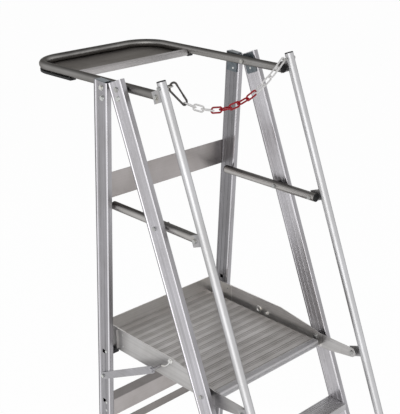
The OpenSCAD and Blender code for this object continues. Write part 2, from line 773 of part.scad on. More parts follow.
module tray_lip() color(satin) home() {
  half = tube_x - tube_dia / 2 - 1;
  translate([-half, tray_front - tray_sheet, -tube_dia / 2 - tray_sheet - 4]) cube([2 * half, tray_sheet, lip_height]);
  translate([-half, tray_front - tray_sheet, lip_height - tube_dia / 2 - 4 - 2 * tray_sheet])
    cube([2 * half, lip_flange, tray_sheet]);
}

module tray_bumper() color(black) home() translate([0, 0, -tube_dia / 2 - tray_sheet - bumper_height]) difference() {
  linear_extrude(bumper_height) difference() {
    tray_outline(bumper_width / 2);
    tray_outline(-bumper_width / 2);
    translate([-tube_x + bumper_width / 2, tray_front - 5])
      square([2 * tube_x - bumper_width, rail_reach - rail_bend - tray_front + 5]);
  }
  pair() tray_rivet_places() cylinder(h = bumper_height + 1, d = rivet_dia + 2 * hole_fit);
}

module tray_rivets() color(steel) home() pair() tray_rivet_places()
  translate([0, 0, -tube_dia / 2 - tray_sheet - bumper_height - 1]) {
    cylinder(h = 1, d = rivet_head);
    cylinder(h = bumper_height + tray_sheet + tube_wall + 1, d = rivet_dia);
  }

// Mid rails

module mid_place() home() translate([0, front_y(-mid_drop), -mid_drop]) children();

module mid_rail() color(satin) mid_place() difference() {
  translate([tube_x, -link_length - tube_past, 0]) rotate([-90, 0, 0])
    linear_extrude(mid_behind + link_length + tube_past) ring2d(tube_dia, tube_wall);
  rod(tube_x - tube_dia, tube_x + tube_dia, strap_bolt + 2 * pin_fit);
  translate([0, -link_length, 0]) rod(tube_x - tube_dia, tube_x + tube_dia, strap_bolt + 2 * pin_fit);
}

module mid_plugs() color(black) mid_place() {
  translate([tube_x, -link_length - tube_past, 0]) front_plug();
  translate([tube_x, mid_behind, 0]) mirror([0, 1, 0]) front_plug();
}

module mid_rail_right() mid_rail();
module mid_rail_left() left() mid_rail();
module mid_rail_right_plugs() mid_plugs();
module mid_rail_left_plugs() left() mid_plugs();

// Handrails

module handrail_dir() front_dir() translate([handrail_x, handrail_y, 0]) children();
module eye_place() home() translate([0, eye_y, eye_z]) children();

module handrail() color(bright) difference() {
  handrail_dir() translate([0, 0, handrail_low]) linear_extrude(handrail_high - handrail_low) ring2d(tube_dia, tube_wall);
  eye_place() rod(handrail_x - tube_dia, handrail_x + tube_dia, strap_bolt - 2 + 2 * hole_fit);
}

module cap() {
  cylinder(h = cap_height - 1, d = tube_dia);
  translate([0, 0, cap_height - 1]) cylinder(h = 1, d1 = tube_dia, d2 = tube_dia - 2);
  translate([0, 0, -6]) cylinder(h = 7, d = tube_dia - 2 * tube_wall - 2 * push_fit);
}

module handrail_caps() color(black) handrail_dir() {
  translate([0, 0, handrail_high]) cap();
  translate([0, 0, handrail_low]) mirror([0, 0, 1]) cap();
}

// A flat plate welded to the back of the handrail tube, along the outer side of the rail's end
module strap_section() difference() {
  union() {
    translate([-strap_thick / 2, 0]) square([strap_thick, strap_reach + strap_past]);
    for (side = [-1, 1]) translate([side * (strap_thick / 2 + 1), tube_dia / 2 + 0.5]) circle(d = weld_dia);
  }
  circle(d = tube_dia + 2 * push_fit);
}

module handrail_straps() color(zinc) difference() {
  for (d = pivot_drops) handrail_dir() translate([0, 0, -d - link_drop - strap_height / 2])
    linear_extrude(strap_height) strap_section();
  for (d = pivot_drops) front_dir() translate([0, handrail_y + strap_reach, -d - link_drop])
    rod(tube_x, tube_x + 2 * strap_out, strap_bolt + 2 * hole_fit);
}

module handrail_bolts() color(steel) {
  front_dir() for (i = [0 : 2]) translate([0, handrail_y + strap_reach, -pivot_drops[i] - link_drop]) {
    nut = (i == 2 ? plate_in : tube_x - tube_dia / 2) - side_fit;
    rod(nut - bolt_head - 1, tube_x + strap_out + 1, strap_bolt);
    washer_head(tube_x + strap_out);
    hex(nut - bolt_head, nut);
  }
  front_dir() translate([0, handrail_y + strap_reach, -pivot_drops[2] - link_drop])
    rod(plate_x + side_fit, tube_x + strap_in, strap_bolt + 6);
  eye_place() {
    translate([eye_x, 0, 0]) rotate_extrude() translate([eye_radius, 0]) circle(d = eye_wire);
    rod(eye_x + eye_radius, handrail_x + tube_dia / 2 + 7, strap_bolt - 2);
    rod(handrail_x + tube_dia / 2 + side_fit, handrail_x + tube_dia / 2 + 5, strap_bolt + 5);
  }
}

module handrail_right() handrail();
module handrail_left() left() handrail();
module handrail_right_caps() handrail_caps();
module handrail_left_caps() left() handrail_caps();
module handrail_right_straps() handrail_straps();
module handrail_left_straps() left() handrail_straps();
module handrail_right_bolts() handrail_bolts();
module handrail_left_bolts() left() handrail_bolts();

// Stays, each with its pin towards the platform

module stay_dir() home() translate([0, stay_low[0], stay_low[1]]) rotate([stay_angle, 0, 0]) children();

module stay() color(mill) stay_dir() {
  difference() {
    slab(stay_in, stay_out) {
      translate([0, -stay_width / 2]) square([stay_len, stay_width]);
      circle(d = stay_width);
      translate([stay_len, 0]) circle(d = stay_width);
    }
    rod(stay_in - 1, stay_out + 1, stay_pin + 2 * pin_fit);
  }
  translate([0, stay_len, 0]) {
    rod(plate_x + side_fit, stay_in + 1, stay_pin);
    hex(stay_out - 1, stay_out + bolt_head);
  }
}

module stay_right() stay();
module stay_left() left() stay();

// Carabiner and chain, in the plane of the eyes

module in_plane(p) home() translate([p[0], eye_y, p[1]]) children();

// Part of a ring in (x, z), with its angles from +X towards +Z
module arc(radius, wire, from, sweep) rotate([90, 0, 0]) rotate_extrude(angle = sweep, start = from)
  translate([radius, 0]) circle(d = wire);
module bow(radius, wire) arc(radius, wire, 90, 180);

module hook_dir_place() in_plane(hook_top) rotate([0, hook_slope, 0]) children();

// Along the upper leg, from the end of the upper bow
module hook_leg_place() hook_dir_place() translate([hook_big * (1 + sin(hook_taper)), 0, hook_big * cos(hook_taper)])
  rotate([0, hook_taper, 0]) children();

module carabiner() color(steel) {
  hook_dir_place() {
    translate([hook_big, 0, 0]) arc(hook_big, hook_wire, 90 - hook_taper, 180 + 2 * hook_taper);
    translate([hook_length - hook_small, 0, 0]) arc(hook_small, hook_wire, hook_taper - 90, 180 - 2 * hook_taper);
    translate([hook_big * (1 + sin(hook_taper)), 0, -hook_big * cos(hook_taper)])
      rotate([0, -hook_taper, 0]) rod(-seat, hook_leg + seat, hook_leg_wire);
  }
  hook_leg_place() {
    rod(-seat, gate_from - 0.6, hook_leg_wire);
    difference() {
      rod(gate_pin_at - 3.5, hook_leg + seat, hook_leg_wire);
      translate([gate_pin_at - 8, -tongue / 2 - side_fit, -5]) cube([12.5, tongue + 2 * side_fit, 10]);
    }
    translate([gate_pin_at, 0, 0]) rotate([90, 0, 0]) cylinder(h = hook_wire - 1.5, d = gate_pin, center = true);
  }
}

module carabiner_gate() color(bright) hook_leg_place() difference() {
  union() {
    rod(gate_from, gate_pin_at - 5, gate_dia);
    translate([gate_pin_at - 6, -tongue / 2, -2.2]) cube([6, tongue, 4.4]);
    translate([gate_pin_at, 0, 0]) rotate([90, 0, 0]) cylinder(h = tongue, r = 2.2, center = true);
  }
  translate([gate_pin_at, 0, 0]) rotate([90, 0, 0]) cylinder(h = 10, d = gate_pin + 2 * pin_fit, center = true);
}

module chain_link(k) {
  a = chain_at(chain_x(k, link_pitch));
  b = chain_at(chain_x(k + 1, link_pitch));
  half = link_width / 2;
  leg = link_pitch + link_play - link_width;
  in_plane((a + b) / 2) rotate([0, -atan2(b[1] - a[1], b[0] - a[0]), 0]) rotate([k % 2 == 0 ? 90 : 0, 0, 0]) {
    for (s = [-1, 1]) translate([0, 0, s * half]) rod(-leg / 2 - seat, leg / 2 + seat, leg_wire);
    translate([-leg / 2, 0, 0]) bow(half, link_wire);
    translate([leg / 2, 0, 0]) mirror([1, 0, 0]) bow(half, link_wire);
  }
}

white_links = round(link_count / 4);
red_links = round(link_count * 5 / 12);

module chain_white_left() color(white) for (k = [0 : white_links - 1]) chain_link(k);
module chain_red() color(red) for (k = [white_links : white_links + red_links - 1]) chain_link(k);
module chain_white_right() color(white) for (k = [white_links + red_links : link_count - 1]) chain_link(k);

front_stile_left();
front_stile_right();
tread_lower();
tread_middle();
tread_upper();
front_rivets();
front_foot_left();
front_foot_right();
hinge_plate_front_left();
hinge_plate_front_right();
hinge_bolts();
mid_rail_bolts();
mid_rail_spacers();
platform_bolts();
platform_spacers();
rear_stile_left();
rear_stile_right();
rear_plate();
rear_brace_upper();
rear_brace_strip();
rear_brace_lower();
rear_rivets();
rear_foot_left();
rear_foot_right();
hinge_bracket_rear_left();
hinge_bracket_rear_right();
stay_bolts();
platform_rests();
platform_planks();
platform_nosing();
side_plate_left();
side_plate_right();
toe_board();
platform_rivets();
stay_nuts();
guard_rail();
rail_plugs();
tray_floor();
tray_lip();
tray_bumper();
tray_rivets();
mid_rail_left();
mid_rail_right();
mid_rail_left_plugs();
mid_rail_right_plugs();
handrail_left();
handrail_right();
handrail_left_caps();
handrail_right_caps();
handrail_left_straps();
handrail_right_straps();
handrail_left_bolts();
handrail_right_bolts();
stay_left();
stay_right();
carabiner();
carabiner_gate();
chain_white_left();
chain_red();
chain_white_right();
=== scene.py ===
import json
import math
import bmesh
import bpy
from mathutils import Matrix, Vector


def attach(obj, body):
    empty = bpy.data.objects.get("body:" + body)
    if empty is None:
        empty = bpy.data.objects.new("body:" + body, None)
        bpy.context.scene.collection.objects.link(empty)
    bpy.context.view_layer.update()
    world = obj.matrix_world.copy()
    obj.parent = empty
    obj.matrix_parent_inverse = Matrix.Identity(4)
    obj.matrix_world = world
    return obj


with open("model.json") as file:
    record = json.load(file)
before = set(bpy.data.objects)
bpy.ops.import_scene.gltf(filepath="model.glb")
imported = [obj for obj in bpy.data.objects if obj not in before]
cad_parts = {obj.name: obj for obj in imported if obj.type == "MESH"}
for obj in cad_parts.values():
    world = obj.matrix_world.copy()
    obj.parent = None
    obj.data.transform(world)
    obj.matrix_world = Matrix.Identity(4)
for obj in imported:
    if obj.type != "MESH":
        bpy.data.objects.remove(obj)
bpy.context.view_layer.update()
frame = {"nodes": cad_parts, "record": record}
print("frame loaded:", len(frame["nodes"]), "nodes")

# the lean of each pair of stiles from upright, in degrees about X, and how far its middle line is behind the hinge
# bead, web, back and rim are the tones across the profile from front to rear, on its inner and on its outer half,
# and face is that of its narrow sides; these tones are painted light and shade: the bright bead and back tones are
# painted highlight lines, the darker rim is a painted dark edge line, and the darker face and inner half, which
# faces the middle, are painted shade
# backFrom and rimFrom are where back and rim begin, as shares of the half depth
# smooth is the roughness of the back bead and the rim beside that of the web
stileLooks = {
    "front": dict(lean=-21.0, behind=0.0, face=0.47, backFrom=0.67, rimFrom=0.83,
                  inner=dict(bead=1.0, web=0.71, back=0.62, rim=0.46),
                  outer=dict(bead=1.0, web=0.68, back=1.0, rim=0.34),
                  smooth=dict(inner=1.0, outer=0.6)),
    "rear": dict(lean=4.2, behind=0.083, face=0.50, backFrom=0.60, rimFrom=0.77,
                 inner=dict(bead=0.86, web=0.31, back=0.36, rim=0.30),
                 outer=dict(bead=0.95, web=0.48, back=0.98, rim=0.34),
                 smooth=dict(inner=1.0, outer=1.0)),
}
jointPlaces = {joint["name"]: Vector(joint["pos_m"]) for joint in frame["record"]["behaviour"]["joints"]}
hingePlace = jointPlaces["guard_rail_turn"]


white = (1.0, 1.0, 1.0)


def newMaterial(name):
    material = bpy.data.materials.new(name)
    material.use_nodes = True
    tree = material.node_tree
    tree.nodes.clear()
    output = tree.nodes.new("ShaderNodeOutputMaterial")
    shader = tree.nodes.new("ShaderNodeBsdfPrincipled")
    tree.links.new(shader.outputs["BSDF"], output.inputs["Surface"])
    return material, tree, shader


def addNode(tree, kind, **sockets):
    node = tree.nodes.new(kind)
    for socket, value in sockets.items():
        node.inputs[socket].default_value = value
    return node


def objectPoints(tree, scale, lean=0.0, origin=(0, 0, 0)):
    # a TEXTURE mapping moves and turns the point back to the piece's own direction, then divides by the scale
    points = tree.nodes.new("ShaderNodeTexCoord")
    mapping = tree.nodes.new("ShaderNodeMapping")
    mapping.vector_type = "TEXTURE"
    mapping.inputs["Location"].default_value = origin
    mapping.inputs["Rotation"].default_value = (math.radians(lean), 0, 0)
    mapping.inputs["Scale"].default_value = [1 / s for s in scale]
    tree.links.new(points.outputs["Object"], mapping.inputs["Vector"])
    return mapping.outputs["Vector"]


def noise(tree, vector, detail, roughness):
    node = addNode(tree, "ShaderNodeTexNoise", Scale=1.0, Detail=detail, Roughness=roughness)
    tree.links.new(vector, node.inputs["Vector"])
    return node.outputs["Fac"]


def ramp(tree, factor, places, colours):
    node = tree.nodes.new("ShaderNodeValToRGB")
    elements = node.color_ramp.elements
    while len(elements) < len(places):
        elements.new(0.5)
    for element, place, colour in zip(elements, places, colours):
        element.position = place
        element.color = (*colour, 1)
    tree.links.new(factor, node.inputs["Fac"])
    return node.outputs["Color"]


def signedRamp(tree, factor, tones):
    # greys at places from -1 to 1, which the factor runs through from 0 to 1
    return ramp(tree, factor, [(place + 1) / 2 for place, tone in tones], [[tone] * 3 for place, tone in tones])


def mixColours(tree, kind, factor, first, second):
    # the node has sockets for every data type, and those for colours are inputs 6 and 7 and output 2
    node = tree.nodes.new("ShaderNodeMix")
    node.data_type = "RGBA"
    node.blend_type = kind
    if isinstance(factor, float):
        node.inputs[0].default_value = factor
    else:
        tree.links.new(factor, node.inputs[0])
    tree.links.new(first, node.inputs[6])
    tree.links.new(second, node.inputs[7])
    return node.outputs[2]


def mapRange(tree, value, low, high, fromLow=0.3, fromHigh=0.7):
    # the range that noise mostly keeps to is the default
    node = tree.nodes.new("ShaderNodeMapRange")
    for socket, number in (("From Min", fromLow), ("From Max", fromHigh), ("To Min", low), ("To Max", high)):
        node.inputs[socket].default_value = number
    tree.links.new(value, node.inputs["Value"])
    return node.outputs["Result"]


bevelSamples = 4


def bump(tree, height, strength, distance, edge=0.0):
    node = addNode(tree, "ShaderNodeBump", Strength=strength, Distance=distance)
    tree.links.new(height, node.inputs["Height"])
    if edge:
        soft = tree.nodes.new("ShaderNodeBevel")
        soft.samples = bevelSamples
        soft.inputs["Radius"].default_value = edge
        tree.links.new(soft.outputs["Normal"], node.inputs["Normal"])
    return node.outputs["Normal"]


# aluminium: lines drawn along the piece, broad soft bands, blotches of oxide and small dark specks
# edge is the tint of the metal at a grazing view, bands the broad bands per metre, grain how deep the lines show,
# relief the strength of their bump and soften the rounding of sharp edges
aluminiumLooks = {
    "mill": dict(dark=(0.80, 0.785, 0.825), light=(0.92, 0.903, 0.945), rough=(0.32, 0.46), lines=200.0, bands=60.0,
                 edge=(0.62, 0.62, 0.64), grain=0.18, relief=0.03, soften=0.0007),
    "bar": dict(dark=(0.44, 0.435, 0.455), light=(0.52, 0.515, 0.535), rough=(0.32, 0.46), lines=200.0, bands=40.0,
                edge=(0.62, 0.62, 0.64), grain=0.12, relief=0.02, soften=0.0007),
    "deck": dict(dark=(0.50, 0.485, 0.48), light=(0.62, 0.605, 0.60), rough=(0.38, 0.52), lines=150.0, bands=3.0,
                 edge=(0.70, 0.68, 0.65), grain=0.05, relief=0.02, soften=0.0007),
    "tread": dict(dark=(0.54, 0.535, 0.55), light=(0.64, 0.635, 0.65), rough=(0.38, 0.52), lines=150.0, bands=20.0,
                  edge=(0.62, 0.62, 0.62), grain=0.10, relief=0.02, soften=0.0007),
    "sheet": dict(dark=(0.41, 0.385, 0.38), light=(0.50, 0.47, 0.465), rough=(0.34, 0.48), lines=170.0, bands=6.0,
                  edge=(0.66, 0.66, 0.66), grain=0.05, relief=0.02, soften=0.0007),
    "lip": dict(dark=(0.40, 0.385, 0.385), light=(0.58, 0.565, 0.565), rough=(0.34, 0.48), lines=170.0, bands=30.0,
                edge=(0.66, 0.66, 0.66), grain=0.10, relief=0.02, soften=0.0007),
    "strip": dict(dark=(0.26, 0.243, 0.236), light=(0.34, 0.32, 0.31), rough=(0.34, 0.48), lines=170.0, bands=30.0,
                  edge=(0.66, 0.66, 0.66), grain=0.15, relief=0.02, soften=0.0007),
    "toe": dict(dark=(0.84, 0.825, 0.81), light=(0.94, 0.925, 0.91), rough=(0.34, 0.48), lines=170.0, bands=6.0,
                edge=(0.66, 0.66, 0.66), grain=0.10, relief=0.02, soften=0.0007),
    # plate is set bright, painted light that lifts the side plates' inner faces against the shade they sit in
    "plate": dict(dark=(0.74, 0.725, 0.72), light=(0.86, 0.845, 0.84), rough=(0.34, 0.48), lines=170.0, bands=6.0,
                  edge=(0.66, 0.66, 0.66), grain=0.15, relief=0.02, soften=0.0007),
    "tray": dict(dark=(0.20, 0.188, 0.18), light=(0.32, 0.302, 0.29), rough=(0.42, 0.60), lines=150.0, bands=6.0,
                 edge=(0.55, 0.54, 0.52), grain=0.10, relief=0.03, soften=0.0005),
    # guard is the rail's aluminium set darker, painted shade for the dark ceiling the guard rail reflects
    "guard": dict(dark=(0.26, 0.253, 0.246), light=(0.35, 0.342, 0.333), rough=(0.30, 0.40), lines=90.0, bands=20.0,
                  edge=(0.42, 0.41, 0.40), grain=0.06, relief=0.0, soften=0.0),
    "rail": dict(dark=(0.42, 0.407, 0.398), light=(0.50, 0.486, 0.476), rough=(0.28, 0.38), lines=90.0, bands=20.0,
                 edge=(0.42, 0.41, 0.40), grain=0.06, relief=0.0, soften=0.0),
    "bright": dict(dark=(0.56, 0.56, 0.573), light=(0.62, 0.62, 0.633), rough=(0.38, 0.44), lines=90.0, bands=20.0,
                   edge=(0.22, 0.22, 0.23), grain=0.05, relief=0.0, soften=0.0),
}


# what all the aluminium shares: patterns per metre, how lines and bands repeat along the piece, the tones they give,
# and from and to which height of the noise a tone goes over into the next
wearLook = dict(lineStretch=1.6, bandStretch=0.9, blotches=(9, 9, 6), specks=(360, 360, 360),
                oxide=(0.90, 0.895, 0.88), dust=(0.78, 0.77, 0.76), dustShare=0.6, lineDepth=0.0003,
                bandStops=(0.34, 0.66), lineStops=(0.30, 0.62), blotchStops=(0.32, 0.66), speckStops=(0.24, 0.34))


def aluminium(name, lookName, along, lean=0.0):
    look = aluminiumLooks[lookName]
    material, tree, shader = newMaterial(name)
    axis = "xyz".index(along)
    fine = [look["lines"]] * 3
    fine[axis] = wearLook["lineStretch"]
    broad = [look["bands"]] * 3
    broad[axis] = wearLook["bandStretch"]
    drawn = noise(tree, objectPoints(tree, fine, lean), detail=3.0, roughness=0.6)
    band = noise(tree, objectPoints(tree, broad, lean), detail=2.0, roughness=0.5)
    blotch = noise(tree, objectPoints(tree, wearLook["blotches"], lean), detail=5.0, roughness=0.6)
    speck = noise(tree, objectPoints(tree, wearLook["specks"]), detail=2.0, roughness=0.5)
    tone = ramp(tree, band, wearLook["bandStops"], (look["dark"], look["light"]))
    lines = ramp(tree, drawn, wearLook["lineStops"], ([1 - look["grain"]] * 3, white))
    oxide = ramp(tree, blotch, wearLook["blotchStops"], (wearLook["oxide"], white))
    dust = ramp(tree, speck, wearLook["speckStops"], (wearLook["dust"], white))
    colour = mixColours(tree, "MULTIPLY", 1.0, tone, lines)
    colour = mixColours(tree, "MULTIPLY", 1.0, colour, oxide)
    colour = mixColours(tree, "MULTIPLY", wearLook["dustShare"], colour, dust)
    tree.links.new(colour, shader.inputs["Base Color"])
    tree.links.new(mapRange(tree, blotch, look["rough"][1], look["rough"][0]), shader.inputs["Roughness"])
    shader.inputs["Metallic"].default_value = 1.0
    shader.inputs["Specular Tint"].default_value = (*look["edge"], 1)
    if look["relief"]:
        relief = bump(tree, drawn, look["relief"], wearLook["lineDepth"], look["soften"])
        tree.links.new(relief, shader.inputs["Normal"])
    return material


# where the painted highlights and shades of any stile's profile change, as shares of its half depth, where its inner
# half, painted in shade, ends, in metres, and the roughness of the front bead beside that of the web
profileLook = dict(halfDepth=0.035, beadFrom=0.73, faceFrom=0.975, blend=0.015, insideAt=0.307, smooth=0.5)


def principled(material):
    return [n for n in material.node_tree.nodes if n.type == "BSDF_PRINCIPLED"][0]


def baseColour(material):
    # the socket for the colour, and what feeds it so far
    socket = principled(material).inputs["Base Color"]
    return socket, socket.links[0].from_socket


def multiplyColour(material, factor):
    tree = material.node_tree
    socket, plain = baseColour(material)
    tree.links.new(mixColours(tree, "MULTIPLY", 1.0, plain, factor), socket)


def absolute(tree, value):
    node = tree.nodes.new("ShaderNodeMath")
    node.operation = "ABSOLUTE"
    tree.links.new(value, node.inputs[0])
    return node.outputs[0]


def twoTone(tree, value, limit, below, above, blend=0.0003):
    # one grey where the value is under the limit, another over it, blended over a hair's breadth
    share = mapRange(tree, value, 0.0, 1.0, limit - blend, limit + blend)
    return ramp(tree, share, (0.0, 1.0), ([below] * 3, [above] * 3))


def coordinates(tree, lean, origin):
    split = tree.nodes.new("ShaderNodeSeparateXYZ")
    tree.links.new(objectPoints(tree, (1, 1, 1), lean, origin), split.inputs["Vector"])
    return split.outputs


def profileTones(tree, across, stile, face, bead, web, back, rim):
    # tones from the front face over the front bead, the web and the back bead to the rear face, used as painted
    # highlight and shade in the colour and as factors of the roughness
    blend, inner, end = (profileLook[k] for k in ("blend", "beadFrom", "faceFrom"))
    outer, last = stile["backFrom"], stile["rimFrom"]
    tones = ((-end - blend, face), (-end, bead), (-inner - blend, bead), (-inner, web), (outer, web),
             (outer + blend, back), (last, back), (last + blend, rim), (end, rim), (end + blend, face))
    return signedRamp(tree, across, tones)


def stileAluminium(name, stile):
    lean = math.radians(stile["lean"])
    origin = hingePlace + Vector((0, stile["behind"] * math.cos(lean), stile["behind"] * math.sin(lean)))
    material = aluminium(name, "mill", "z", stile["lean"])
    tree = material.node_tree
    place = coordinates(tree, stile["lean"], origin)
    across = mapRange(tree, place["Y"], 0.0, 1.0, -profileLook["halfDepth"], profileLook["halfDepth"])
    # half picks each stile's inner half, facing the middle, which gets darker tones as painted shade
    half = twoTone(tree, absolute(tree, place["X"]), profileLook["insideAt"], 0.0, 1.0)
    inside, outside = (profileTones(tree, across, stile, stile["face"], **stile[k]) for k in ("inner", "outer"))
    # painted highlights on the beads and backs, painted dark edge lines on the rims, painted shade on the faces and
    # the inner half
    multiplyColour(material, mixColours(tree, "MIX", half, inside, outside))
    inside, outside = (profileTones(tree, across, stile, 1.0, profileLook["smooth"], 1.0, back, back)
                       for back in (stile["smooth"]["inner"], stile["smooth"]["outer"]))
    rough = principled(material).inputs["Roughness"]
    plain = rough.links[0].from_socket
    tree.links.new(mixColours(tree, "MULTIPLY", 1.0, plain, mixColours(tree, "MIX", half, inside, outside)), rough)
    return material


# painted shade: a brace is painted darker on its top, within the thickness of its wall
braceTopShade = dict(wall=0.0025, top=0.66)


def braceAluminium(name, brace, lean, look):
    upright = Matrix.Rotation(-math.radians(lean), 3, "X")
    top = max((upright @ vertex.co).z for vertex in brace.data.vertices)
    material = aluminium(name, "sheet", "x")
    tree = material.node_tree
    place = coordinates(tree, lean, (0, 0, 0))
    # painted shade on the brace's top
    multiplyColour(material, twoTone(tree, place["Z"], top - look["wall"], 1.0, look["top"]))
    return material


# painted shade: rails are painted darker along their tops, for the dark ceiling they reflect there; tones by height
# over the axis, as shares of the radius
tubeTopShade = dict(radius=0.015, sideTo=0.35, topFrom=0.87, top=0.42)


def tubeAluminium(name, lookName, height, look):
    material = aluminium(name, lookName, "y")
    tree = material.node_tree
    place = coordinates(tree, 0.0, (0, 0, height))
    above = mapRange(tree, place["Z"], 0.0, 1.0, -look["radius"], look["radius"])
    # painted shade along the tube's top
    multiplyColour(material, signedRamp(tree, above, ((look["sideTo"], 1.0), (look["topFrom"], look["top"]))))
    return material


# painted light and shade: a side plate is painted darker on its outer face, which is beyond faceAt from the middle
# of the part, and on its arm, which begins at armFrom from the pivot and goes forward, while its inner face keeps
# the bright plate tone, set against the shade there
plateShadeLook = dict(faceAt=0.2785, outer=0.69, armFrom=-0.03, arm=0.72)


def plateAluminium(name, look):
    material = aluminium(name, "plate", "y")
    tree = material.node_tree
    place = coordinates(tree, 0.0, jointPlaces["platform_fold"])
    # painted shade on the outer face and on the arm
    multiplyColour(material, twoTone(tree, absolute(tree, place["X"]), look["faceAt"], 1.0, look["outer"]))
    multiplyColour(material, twoTone(tree, place["Y"], look["armFrom"], look["arm"], 1.0))
    return material


# painted reflection: the deck's raised bands are painted lighter than its hollows, standing in for the light and
# shade that the ribbed planks reflect;
# the two tones are of the raised bands and of the hollows, count is how many there are, and least how much the
# stripes show where they show least
deckReflectionBands = dict(count=14, bandShade=(0.80, 0.79, 0.785), bandHighlight=white, stops=(0.10, 0.62), blotches=2.2, least=0.25)


def deckAluminium(name, planks, look):
    rows = [vertex.co.y for vertex in planks.data.vertices]
    pitch = (max(rows) - min(rows)) / look["count"]
    material = aluminium(name, "deck", "x")
    tree = material.node_tree
    place = coordinates(tree, 0.0, (0, min(rows), 0))
    fold = tree.nodes.new("ShaderNodeMath")
    fold.operation = "PINGPONG"
    fold.inputs[1].default_value = pitch / 2
    tree.links.new(place["Y"], fold.inputs[0])
    height = mapRange(tree, fold.outputs[0], 0.0, 1.0, 0.0, pitch / 2)
    # painted reflection: lighter over the raised bands, darker over the hollows
    stripe = ramp(tree, height, look["stops"], (look["bandShade"], look["bandHighlight"]))
    use = noise(tree, objectPoints(tree, [look["blotches"]] * 3), detail=2.0, roughness=0.5)
    socket, plain = baseColour(material)
    striped = mixColours(tree, "MULTIPLY", 1.0, plain, stripe)
    tree.links.new(mixColours(tree, "MIX", mapRange(tree, use, look["least"], 1.0), plain, striped), socket)
    return material


# zinc: spangles and soft clouds per metre, with a warm end to the tint
# smooth, given with a finish, is its roughness beside the one here
zincLook = dict(spangles=150, clouds=38, warm=(1.05, 1.0, 0.9), spangleTone=(0.92, 0.92, 0.92), spangleShare=0.6,
                cloudStops=(0.32, 0.52, 0.72), spangleStops=(0.0, 0.7), rough=(0.30, 0.48), metal=0.9,
                relief=0.05, depth=0.0005, soften=0.0006)


def zincSteel(name, tint, deep, smooth=1.0):
    look = zincLook
    material, tree, shader = newMaterial(name)
    spangle = addNode(tree, "ShaderNodeTexVoronoi", Scale=1.0)
    tree.links.new(objectPoints(tree, [look["spangles"]] * 3), spangle.inputs["Vector"])
    cloud = noise(tree, objectPoints(tree, [look["clouds"]] * 3), detail=4.0, roughness=0.6)
    warm = [part * share for part, share in zip(tint, look["warm"])]
    colour = ramp(tree, cloud, look["cloudStops"], (deep, tint, warm))
    grey = ramp(tree, spangle.outputs["Distance"], look["spangleStops"], (look["spangleTone"], white))
    mixed = mixColours(tree, "MULTIPLY", look["spangleShare"], colour, grey)
    tree.links.new(mixed, shader.inputs["Base Color"])
    rough = [smooth * end for end in look["rough"]]
    tree.links.new(mapRange(tree, cloud, *rough), shader.inputs["Roughness"])
    shader.inputs["Metallic"].default_value = look["metal"]
    relief = bump(tree, spangle.outputs["Distance"], look["relief"], look["depth"], look["soften"])
    tree.links.new(relief, shader.inputs["Normal"])
    return material


# black plastic of feet, plugs and spacers: a fine moulded grain and paler scuffs
blackLook = dict(grains=900, scuffs=45, dark=(0.012, 0.012, 0.013), pale=(0.034, 0.034, 0.035), stops=(0.35, 0.70),
                 rough=(0.55, 0.75), gloss=0.3, relief=0.12, depth=0.0003, soften=0.0008)


def blackPlastic(name):
    look = blackLook
    material, tree, shader = newMaterial(name)
    grain = noise(tree, objectPoints(tree, [look["grains"]] * 3), detail=2.0, roughness=0.5)
    scuff = noise(tree, objectPoints(tree, [look["scuffs"]] * 3), detail=4.0, roughness=0.6)
    colour = ramp(tree, scuff, look["stops"], (look["dark"], look["pale"]))
    tree.links.new(colour, shader.inputs["Base Color"])
    tree.links.new(mapRange(tree, scuff, *look["rough"]), shader.inputs["Roughness"])
    shader.inputs["Specular IOR Level"].default_value = look["gloss"]
    relief = bump(tree, grain, look["relief"], look["depth"], look["soften"])
    tree.links.new(relief, shader.inputs["Normal"])
    return material


# the chain's plastic: clouds in its colour and flow marks
chainLook = dict(clouds=55, flow=(300, 300, 60), stops=(0.34, 0.66), rough=(0.24, 0.42), gloss=0.2,
                 relief=0.06, depth=0.0003)


def chainPlastic(name, pale, deep):
    look = chainLook
    material, tree, shader = newMaterial(name)
    cloud = noise(tree, objectPoints(tree, [look["clouds"]] * 3), detail=4.0, roughness=0.6)
    flow = noise(tree, objectPoints(tree, look["flow"]), detail=2.0, roughness=0.5)
    tree.links.new(ramp(tree, cloud, look["stops"], (deep, pale)), shader.inputs["Base Color"])
    tree.links.new(mapRange(tree, flow, *look["rough"]), shader.inputs["Roughness"])
    shader.inputs["Specular IOR Level"].default_value = look["gloss"]
    tree.links.new(bump(tree, flow, look["relief"], look["depth"]), shader.inputs["Normal"])
    return material


